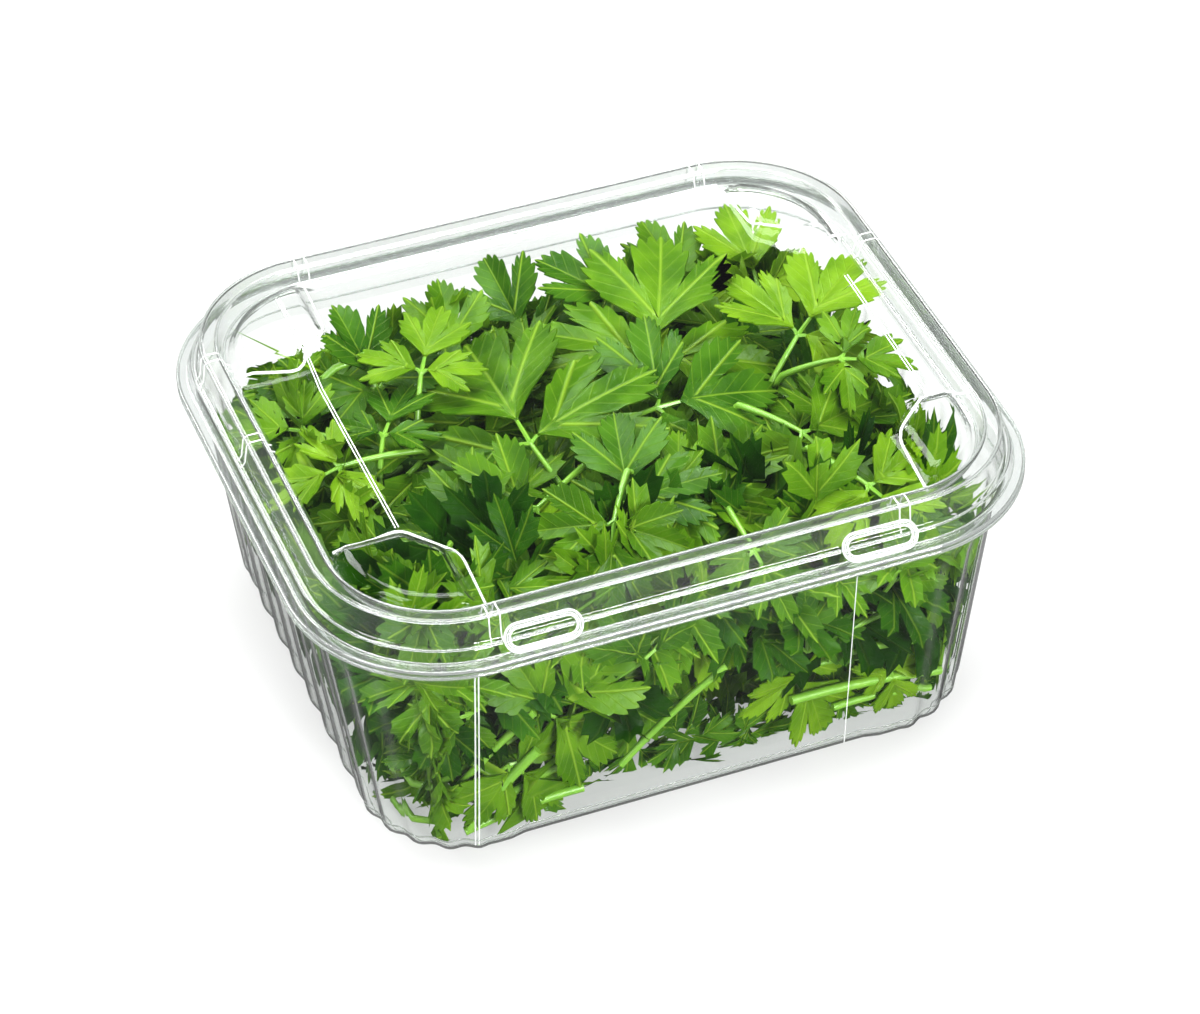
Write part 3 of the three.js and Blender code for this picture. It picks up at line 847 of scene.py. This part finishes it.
# %% The frame's leaves, repeated
LEAFLET_TURN = 80
MIDDLE_LENGTH, MIDDLE_NECK = 0.84, 0.16
SIDE_LENGTH, SIDE_NECK = 0.78, 0.05
NECK_HALF = 0.7
HEEL = 0.8
INNER_SHARE = 0.62
BASE_WIDTH, BASE_SPREAD = 0.35, 1.3
FOLD = 0.28
HUB_SHARE = 0.2
BLADE = 0.6
STEM_RADIUS = 0.9
STALK_STEPS = 4
LEAN_AXIS = Vector((0.93, -0.37, 0)).normalized()
LEAN = {"top": 18, "front": -10}
SPRIG_SEED = 987654321
WALL_SEED = 7
RANDOM_SPAN = 4294967296

FULL_HALF = [
    (0, 1), (7, 0.92), (12, 0.88), (18, 0.52), (25, 0.7), (33, 0.82), (41, 0.7), (49, 0.58), (56, 0.36),
]
PLAIN_HALF = [(0, 1), (18, 0.52), (34, 0.8), (54, 0.42)]

FACES = {
    "top": ((1, 0, 0), (0, 1, 0), (0, 0, 1)),
    "front": ((1, 0, 0), (0, 0, 1), (0, -1, 0)),
    "back": ((-1, 0, 0), (0, 0, 1), (0, 1, 0)),
    "left": ((0, -1, 0), (0, 0, 1), (-1, 0, 0)),
    "right": ((0, 1, 0), (0, 0, 1), (1, 0, 0)),
}
TOP_LEAVES = [
    (-18, 0, 66, 94, 44, -6), (-8, -32, 66, 78, 29, 4), (-9, -37, 63, 243, 25, -22),
    (-25, -22, 63, 205, 30, -8), (18, 2, 67, 356, 32, 0), (9, -27, 64, 345, 27, -4),
    (8, 1, 61, 98, 23, 6), (24, 17, 68, 62, 42, 4), (54, 11, 70, 36, 32, 0), (56, -2, 67, 352, 25, -8),
    (48, -19, 64, 296, 30, -10), (64, 44, 60, 84, 28, 18), (48, 54, 60, 96, 28, 22),
    (36, 54, 60, 148, 26, 6), (26, 42, 65, 128, 27, 14), (4, 44, 61, 97, 25, 18),
    (-22, 43, 60, 78, 26, 16), (-45, 41, 60, 98, 26, 20), (-55, 43, 58, 146, 22, 10),
    (-62, 28, 58, 150, 20, 0), (-38, 42, 62, 58, 22, 8), (-36, 28, 63, 64, 25, 4),
    (-50, 18, 60, 52, 20, 0), (-60, 15, 58, 188, 20, -4), (-56, 0, 58, 205, 22, -6),
    (-60, -17, 56, 218, 22, -8), (-6, -10, 57, 122, 26, -4), (36, -40, 58, 350, 24, -4),
    (-34, -46, 56, 250, 22, -14), (56, -46, 56, 300, 22, -12), (-56, -42, 54, 232, 22, -10),
    (18, -50, 57, 278, 20, -12), (66, -18, 62, 334, 20, 2), (14, 30, 62, 142, 27, 0),
]
FRONT_LEAVES = [
    (-39, 34, 66, 36, 30, 0, (-68, 14, 60)), (-14, 45, 65, 40, 24, 2),
    (3, 39, 66, 50, 24, 0, (-22, 18, 62)), (-17, 29, 64, 314, 29, 2),
    (-46, 21, 65, 316, 24, 0, (-66, 5, 60)), (31, 34, 65, 94, 20, 0, (66, 37, 60)),
    (30, 27, 65, 292, 23, 0, (67, 27, 62)), (-58, 40, 62, 186, 17, 4),
    (-57, 44, 65, 52, 16, 0, (-63, 12, 57)), (-61, 25, 62, 262, 18, 0),
    (54, 20, 64, 282, 15, 0), (55, 48, 63, 66, 18, 4),
]
WALL_LEAVES = {"back": (5, 52, 62), "left": (3, 36, 70), "right": (3, 34, 70)}


def seeded_random(seed):
    state = seed

    def draw():
        nonlocal state
        state = (state * 1664525 + 1013904223) % RANDOM_SPAN
        return state / RANDOM_SPAN

    return draw


def combine(face, across, along, out):
    axes = FACES[face]
    return Vector(axes[0]) * across + Vector(axes[1]) * along + Vector(axes[2]) * out


def whole_edge(half):
    return [(-degrees, share) for degrees, share in reversed(half[1:])] + half


def list_sprigs():
    draw = seeded_random(WALL_SEED)
    full, plain = whole_edge(FULL_HALF), whole_edge(PLAIN_HALF)
    sprigs = [("front", leaf, full) for leaf in FRONT_LEAVES]
    for face, (count, spread, out) in WALL_LEAVES.items():
        for i in range(count):
            across = spread * ((2 * i) / (count - 1) - 1)
            along = 26 + 22 * draw()
            aim = 360 * draw()
            sprigs.append((face, (across, along, out, aim, 20 + 5 * draw(), 0), plain))
    by_size = sorted(TOP_LEAVES, key=lambda leaf: -leaf[4])
    return sprigs + [("top", leaf, full if leaf[4] > 24 else plain) for leaf in by_size]


# %% A leaf's place and surface
def lie_of(face, leaf, roll):
    """The matrix that sets a leaf down: aimed, lifted at the tip and rolled about its rib."""
    across, along, out, aim, _, lift = leaf[:6]
    forward = combine(face, math.cos(math.radians(aim)), math.sin(math.radians(aim)), 0)
    normal = Vector(FACES[face][2])
    basis = Matrix((forward, normal.cross(forward), normal)).transposed().to_4x4()
    lean = Matrix.Rotation(math.radians(LEAN.get(face, 0)), 4, LEAN_AXIS)
    place = Matrix.Translation(combine(face, across, along, out))
    return place @ lean @ basis @ turned("Y", -lift) @ turned("X", roll)


class Leaf:
    """One leaf's size, bend and three leaflets. The draws come in the frame's own order."""

    def __init__(self, face, leaf, draw):
        self.size = leaf[4]
        self.lie = lie_of(face, leaf, 24 * draw() - 12)
        self.back = Vector((-(14 + 8 * draw()), 6 * draw() - 3, -6 - 4 * draw()))
        if len(leaf) > 6:
            self.back = self.lie.inverted() @ combine(face, *leaf[6])
        self.bend = 0.16 + 0.12 * draw()
        self.ruffle = 2 * math.pi * draw()
        self.leaflets = []
        for side in (-1, 0, 1):
            length = self.size * (SIDE_LENGTH if side else MIDDLE_LENGTH) * (0.92 + 0.16 * draw())
            neck = self.size * (SIDE_NECK if side else MIDDLE_NECK)
            base = turned("Z", side * LEAFLET_TURN) @ Vector((neck, 0, 0))
            pitch = -(20 * draw() - 10)
            roll = 36 * draw() - 18
            turn = turned("Z", side * LEAFLET_TURN) @ turned("Y", pitch) @ turned("X", roll)
            self.leaflets.append((side, length, Matrix.Translation(base) @ turn))

    def flat_point(self, side, degrees, share):
        """A point of a leaflet's outline, flat and as shares of the leaflet's length."""
        angle = math.radians(degrees)
        inner = INNER_SHARE if side * degrees < 0 else 1
        drawn_in = min(1, BASE_WIDTH + BASE_SPREAD * share)
        return share * math.cos(angle), share * math.sin(angle) * inner * drawn_in

    def blade_point(self, leaflet, degrees, share, crease=0):
        side, length, lie = leaflet
        along, across = self.flat_point(side, degrees, share)
        wave = 0.03 * length * share * math.sin(5 * math.radians(degrees) + self.ruffle)
        height = FOLD * abs(across * length) + wave + crease
        point = lie @ Vector((length * along, length * across, height))
        point.z -= self.bend * (point.x ** 2 + point.y ** 2) / self.size
        return point

    def stalk(self):
        bent = Vector((0.5 * self.back.x, 0.3 * self.back.y, 0.25 * self.back.z - 0.6))
        return Vector((-HEEL, 0, -BLADE / 2)), bent, self.back

    def frame_points(self, edge):
        """The corner points of the frame's own solid, before it settled."""
        points = [Vector((-HEEL, -HEEL, 0)), Vector((0, 0, 0)), Vector((-HEEL, HEEL, 0))]
        for leaflet in self.leaflets:
            points += [leaflet[2] @ Vector((0, across, 0)) for across in (-NECK_HALF, NECK_HALF)]
            points += [self.blade_point(leaflet, *corner) for corner in [*edge, (0, HUB_SHARE)]]
        points += [point - Vector((0, 0, BLADE)) for point in points]
        for centre, onward in curve_points(self.stalk(), STALK_STEPS)[1:]:
            left = Vector((onward.y, -onward.x, 0)).normalized()
            up = left.cross(onward)
            for leftward, upward in ((1, 1), (-1, 1), (-1, -1), (1, -1)):
                points.append(centre + STEM_RADIUS * (left * leftward + up * upward))
        return [self.lie @ point for point in points]

    def settle_on(self, node, edge):
        """Moves the lie by the way the frame's solid was moved to lie clear of its neighbours."""
        points = self.frame_points(edge)
        low = Vector([min(point[k] for point in points) for k in range(3)])
        high = Vector([max(point[k] for point in points) for k in range(3)])
        node_low, node_high = (Vector(corner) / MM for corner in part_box(node))
        misfit = ((node_high - node_low) - (high - low)).length
        self.lie = Matrix.Translation((node_low + node_high - low - high) / 2) @ self.lie
        return misfit


WALL_CLEARANCE = 1.3
FLOOR_CLEARANCE = 1.6
LID_CLEARANCE = PARTING_Z + PANEL_RISE - 1.4


def pressed(point):
    """A point in millimetres, moved inside the box if it lies outside: leaves flatten on the wall."""
    z = min(max(point.z, FLOOR_CLEARANCE), LID_CLEARANCE)
    half_x, half_y, radius = wall_size(z, WALL_CLEARANCE)
    shrink = FOOT_ROUND * (1 - min(z / FOOT_ROUND, 1)) ** 2
    half_x, half_y = half_x - shrink, half_y - shrink
    x, y = min(abs(point.x), half_x), min(abs(point.y), half_y)
    past_x, past_y = x - (half_x - radius), y - (half_y - radius)
    if past_x > 0 and past_y > 0 and math.hypot(past_x, past_y) > radius:
        scale = radius / math.hypot(past_x, past_y)
        x, y = half_x - radius + past_x * scale, half_y - radius + past_y * scale
    return Vector((math.copysign(x, point.x), math.copysign(y, point.y), z))


def curve_points(path, steps):
    """Points of the bend that starts and ends at a path's ends, each with its direction."""
    start, bent, end = path
    points = []
    for step in range(steps + 1):
        t = step / steps
        centre = start * (1 - t) ** 2 + bent * 2 * t * (1 - t) + end * t * t
        points.append((centre, ((bent - start) * (1 - t) + (end - bent) * t).normalized()))
    return points


# %% [markdown]
# A blunt tooth rises steeply out of its notch and rounds off at its tip, so the outline between two
# key points follows a quarter of a sine. The lobe's own rib is where its veins and its crease start.
# The large leaves in front get a closed blade. The many in the fill stay open sheets of few faces.

# %% Grow a blade
FINE_HALF = [
    (0, 1.0), (2.2, 0.92), (4.6, 0.97), (6.6, 0.87), (9.6, 0.92), (11.6, 0.8), (14.6, 0.83), (16.4, 0.64),
    (19, 0.42), (21.2, 0.6), (23.2, 0.74), (25, 0.69), (28, 0.84), (29.8, 0.78), (33, 0.9), (36, 0.79),
    (39, 0.84), (41.2, 0.73), (45, 0.77), (47.2, 0.63), (51, 0.66), (53, 0.5), (57, 0.48), (60, 0.3),
    (63, 0.1),
]
SMALL_HALF = [
    (0, 1.0), (4.5, 0.87), (9, 0.93), (13.5, 0.72), (18.5, 0.43), (24.5, 0.75), (27.5, 0.71),
    (33, 0.89), (38, 0.72), (44, 0.77), (48, 0.58), (54.5, 0.54), (61, 0.15),
]
LOBE_RIB, LOBE_EDGE = 32.5, 18.0
RIB_START, RIB_REACH = 0.14, 0.84
CREASE = 0.12


def blunt(share):
    return math.sin(share * math.pi / 2)


def edge_columns(half, steps):
    keys = whole_edge(half)
    columns = [keys[0]]
    for (angle, reach), (next_angle, next_reach) in zip(keys, keys[1:]):
        for step in range(1, steps + 1):
            t = step / steps
            rising = blunt(t) if next_reach > reach else 1 - blunt(1 - t)
            columns.append((angle + (next_angle - angle) * t, reach + (next_reach - reach) * rising))
    return columns


FULL_COLUMNS = edge_columns(FINE_HALF, 2)
SMALL_COLUMNS = edge_columns(SMALL_HALF, 2)
FILL_COLUMNS = edge_columns(SMALL_HALF, 1)


def lobe_place(along, across, middle):
    """A point's place along and away from the rib of the lobe that its face belongs to."""
    if abs(middle) <= LOBE_EDGE:
        return along, across
    angle = math.radians(LOBE_RIB)
    rib = Vector((RIB_REACH * math.cos(angle) - RIB_START, RIB_REACH * math.sin(angle))).normalized()
    place = Vector((along - RIB_START, abs(across)))
    return place.dot(rib), rib.cross(place)


def grow_leaflet(shape, leaf, leaflet, columns, rows, thickness):
    """A grid bent to the leaflet and closed at its base; with a thickness, it becomes a closed blade."""
    side, length, _ = leaflet

    def share_at(row, column):
        return columns[column][1] * (row / rows) ** 0.8

    def place_of(row, column):
        degrees = columns[column][0]
        share = share_at(row, column)
        off_rib = min(abs(degrees), abs(abs(degrees) - LOBE_RIB))
        crease = CREASE * length * share * math.sin(math.radians(off_rib))
        point = leaf.lie @ leaf.blade_point(leaflet, degrees, share, crease)
        return (point if thickness else pressed(point)) * MM

    cells = bend_grid(shape, rows, len(columns) - 1, place_of)
    faces = list({face for vert in cells for face in vert.link_faces})
    lobes = shape.loops.layers.uv["lobe"]
    for face in faces:
        face_columns = [cells[loop.vert][1] for loop in face.loops]
        middle = (columns[min(face_columns)][0] + columns[max(face_columns)][0]) / 2
        for loop in face.loops:
            row, column = cells[loop.vert]
            flat = leaf.flat_point(side, columns[column][0], share_at(row, column))
            loop[lobes].uv = lobe_place(*flat, middle)
    bmesh.ops.remove_doubles(shape, verts=list(cells), dist=1e-6)
    if thickness:
        faces = [face for face in faces if face.is_valid]
        bmesh.ops.solidify(shape, geom=faces, thickness=thickness * MM)


def grow_leaf(shape, leaf, columns, rows, thickness=0):
    for leaflet in leaf.leaflets:
        grow_leaflet(shape, leaf, leaflet, columns, rows, thickness)


FINE_BLADE = 0.42
STALK_TIP, STALK_GROWTH = 0.6, 0.04
SMALL_EDGE = 8
RIB_STEPS = 6
SINK = Vector((0, 0, 0.16))


def grow_ribs(shape, leaf, finish_index):
    """A neck and midrib for each leaflet, and a branch to each side lobe."""
    for leaflet in leaf.leaflets:
        side, length, _ = leaflet
        middle = [leaf.blade_point(leaflet, 0, 0.86 * i / RIB_STEPS) - SINK for i in range(RIB_STEPS + 1)]
        centres = [Vector((-HEEL, 0, -BLADE / 2)), *middle]
        radii = [0.62, *[0.5 - 0.42 * i / RIB_STEPS for i in range(RIB_STEPS + 1)]]
        grow_tube(shape, centres, radii, leaf.lie, finish_index, 5)
        for way in (-1, 1):
            branch = []
            for i in range(RIB_STEPS):
                t = i / (RIB_STEPS - 1)
                degrees = way * LOBE_RIB * min(1, t * 1.6)
                share = RIB_START + (RIB_REACH * 0.9 - RIB_START) * t
                branch.append(leaf.blade_point(leaflet, degrees, share) - SINK)
            radii = [0.3 - 0.22 * i / RIB_STEPS for i in range(RIB_STEPS)]
            grow_tube(shape, branch, radii, leaf.lie, finish_index, 4)


# %% Replace the frame's sprigs
def new_leafy_shape():
    shape = bmesh.new()
    shape.loops.layers.uv.new("lobe")
    return shape


def dive(leaf, face, centres):
    """Two more points for a stalk, which carry its end into the heap and out of sight."""
    onward = (centres[-1] - centres[-2]).normalized()
    inward = leaf.lie.inverted().to_3x3() @ -Vector(FACES[face][2])
    return [centres[-1] + onward * reach + inward * depth for reach, depth in ((4, 4), (6, 13))]


def build_sprigs():
    counts = {}
    worst = 0
    for number, (face, leaf_row, edge) in enumerate(list_sprigs()):
        counts[face] = counts.get(face, 0) + 1
        node = f"sprig_{face}_{counts[face]:02d}"
        leaf = Leaf(face, leaf_row, seeded_random((SPRIG_SEED * (number + 1)) % RANDOM_SPAN))
        worst = max(worst, leaf.settle_on(node, edge))
        shape = new_leafy_shape()
        columns, rows = (FULL_COLUMNS, 6) if len(edge) > SMALL_EDGE else (SMALL_COLUMNS, 4)
        grow_leaf(shape, leaf, columns, rows, FINE_BLADE)
        grow_ribs(shape, leaf, 1)
        centres = [centre for centre, _ in curve_points(leaf.stalk(), 9)]
        centres += dive(leaf, face, centres)
        radii = [STALK_TIP + STALK_GROWTH * i for i in range(len(centres))]
        grow_tube(shape, centres, radii, leaf.lie, 1)
        for vert in shape.verts:
            vert.co = pressed(vert.co / MM) * MM
        slot = list(LEAF_GREENS)[number % len(LEAF_GREENS)]
        piece = finish_piece(shape, "fine_" + node, [LEAF_FINISHES[slot], STALK_FINISH], "tray", slot)
        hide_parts(node)
    print("sprigs:", counts, "worst misfit in mm:", round(worst, 3))


build_sprigs()

# %% [markdown]
# Where bunches were cut, thicker stem ends lie against the front wall. Each is a plain tube between
# two read places, bent a little.

# %% Cut stems that lie along the front
STEM_BEND = Vector((0, 0.8, 1.6))
CUT_STEMS = [
    ((36, -66, 30), (67, -64, 25), 1.1), ((26, -67, 20), (69, -65, 14), 1.25),
    ((44, -65, 27), (68, -63, 19), 1.0), ((38, -66.5, 13), (66, -65, 9), 1.0),
    ((-60, -66.5, 6), (-42, -67, 27), 1.3), ((-61, -66, 5), (-30, -67, 10), 1.2),
    ((-59, -65, 6), (-36, -66, 19), 1.15), ((-20, -67, 14), (8, -67, 38), 0.9),
    ((-64, -63, 15), (-42, -65, 38), 1.0),
]


def build_cut_stems():
    shape = new_leafy_shape()
    for start, end, radius in CUT_STEMS:
        start, end = Vector(start), Vector(end)
        path = start, (start + end) / 2 + STEM_BEND, end
        centres = [pressed(centre) for centre, _ in curve_points(path, 10)]
        grow_tube(shape, centres, [radius] * len(centres), STILL, 0, 10)
    tell(finish_piece(shape, "cut_stems", STALK_FINISH, "tray", "leaf_bright"))


build_cut_stems()

# %% [markdown]
# ## The rest of the heap
# The frame holds the leaves that show. Between and under them lie many more, which close the heap so
# that no light shows through it. They are placed by rule: a jittered grid of small leaves under each
# face of the heap. On the top and the front, every layer is deeper than the last and painted darker, as
# painted shade.

# %% Fill the heap
FILL_SEED = 4242
JITTER = 0.8
LAYER_DEPTH = 4
HEAP = {"left": 74, "right": 90, "front": 64, "height": 62, "drop": 9}


def heap_top(x, y):
    """The heap's height: level in the middle and lower near the walls."""
    edge = max(x / HEAP["right"], -x / HEAP["left"], abs(y) / HEAP["front"])
    return HEAP["height"] - HEAP["drop"] * smoothstep(edge, 0.55, 1.0)


def even_places(span, spacing):
    """Places spread evenly over a span, about a spacing apart."""
    count = max(1, round((span[1] - span[0]) / spacing))
    return [span[0] + (span[1] - span[0]) * i / count for i in range(count + 1)]


def fill_face(name, face, across_span, along_span, out, spacing, size, finish_name, seed):
    """A jittered grid of leaves under one face of the heap. The dark finishes share the dark leaf's slot."""
    draw = seeded_random(seed)
    shape = new_leafy_shape()
    count = 0
    for even_along in even_places(along_span, spacing):
        for even_across in even_places(across_span, spacing):
            across = even_across + (draw() - 0.5) * spacing * JITTER
            along = even_along + (draw() - 0.5) * spacing * JITTER
            depth = out + LAYER_DEPTH * (draw() - 0.5)
            if face == "top":
                depth += heap_top(across, along)
            row_of_leaf = (across, along, depth, 360 * draw(), size * (0.8 + 0.4 * draw()), 36 * draw() - 18)
            leaf = Leaf(face, row_of_leaf, draw)
            grow_leaf(shape, leaf, FILL_COLUMNS, 3)
            count += 1
    finish = {**LEAF_FINISHES, "under": UNDER_SHADE_FINISH, "shade": SHADE_FINISH}[finish_name]
    slot = finish_name if finish_name in LEAF_GREENS else "leaf_dark"
    tell(finish_piece(shape, name, finish, "tray", slot), "in", count, "leaves")


# %% The layers: face, spans across and along, distance out, spacing, leaf size, finish, seed step
# Painted shade: deeper layers take darker finishes, leaf_deep, under, shade on the top, leaf_mid, under,
# shade on the front, and leaf_dark along the front's foot.
LAYERS = {
    "fill_top_upper": ("top", (-70, 81), (-50, 58), -5, 15, 23, "leaf_deep", 0),
    "fill_top_lower": ("top", (-68, 80), (-52, 54), -12, 14, 25, "under", 1),
    "fill_top_deep": ("top", (-64, 66), (-48, 50), -21, 15, 28, "shade", 8),
    "fill_front_outer": ("front", (-62, 74), (10, 54), 45, 15, 22, "leaf_mid", 2),
    "fill_front_foot": ("front", (-58, 64), (4, 7), 58, 11, 15, "leaf_dark", 9),
    "fill_front_middle": ("front", (-64, 72), (7, 54), 39, 15, 25, "under", 7),
    "fill_front_deep": ("front", (-62, 66), (8, 52), 32, 14, 28, "shade", 3),
    "fill_back": ("back", (-66, 66), (12, 50), 58, 15, 24, "leaf_mid", 4),
    "fill_left": ("left", (-54, 54), (12, 50), 68, 15, 23, "leaf_mid", 5),
    "fill_right": ("right", (-54, 54), (12, 52), 74, 15, 23, "leaf_mid", 6),
}
for name, (*layout, seed_step) in LAYERS.items():
    fill_face(name, *layout, FILL_SEED + seed_step)
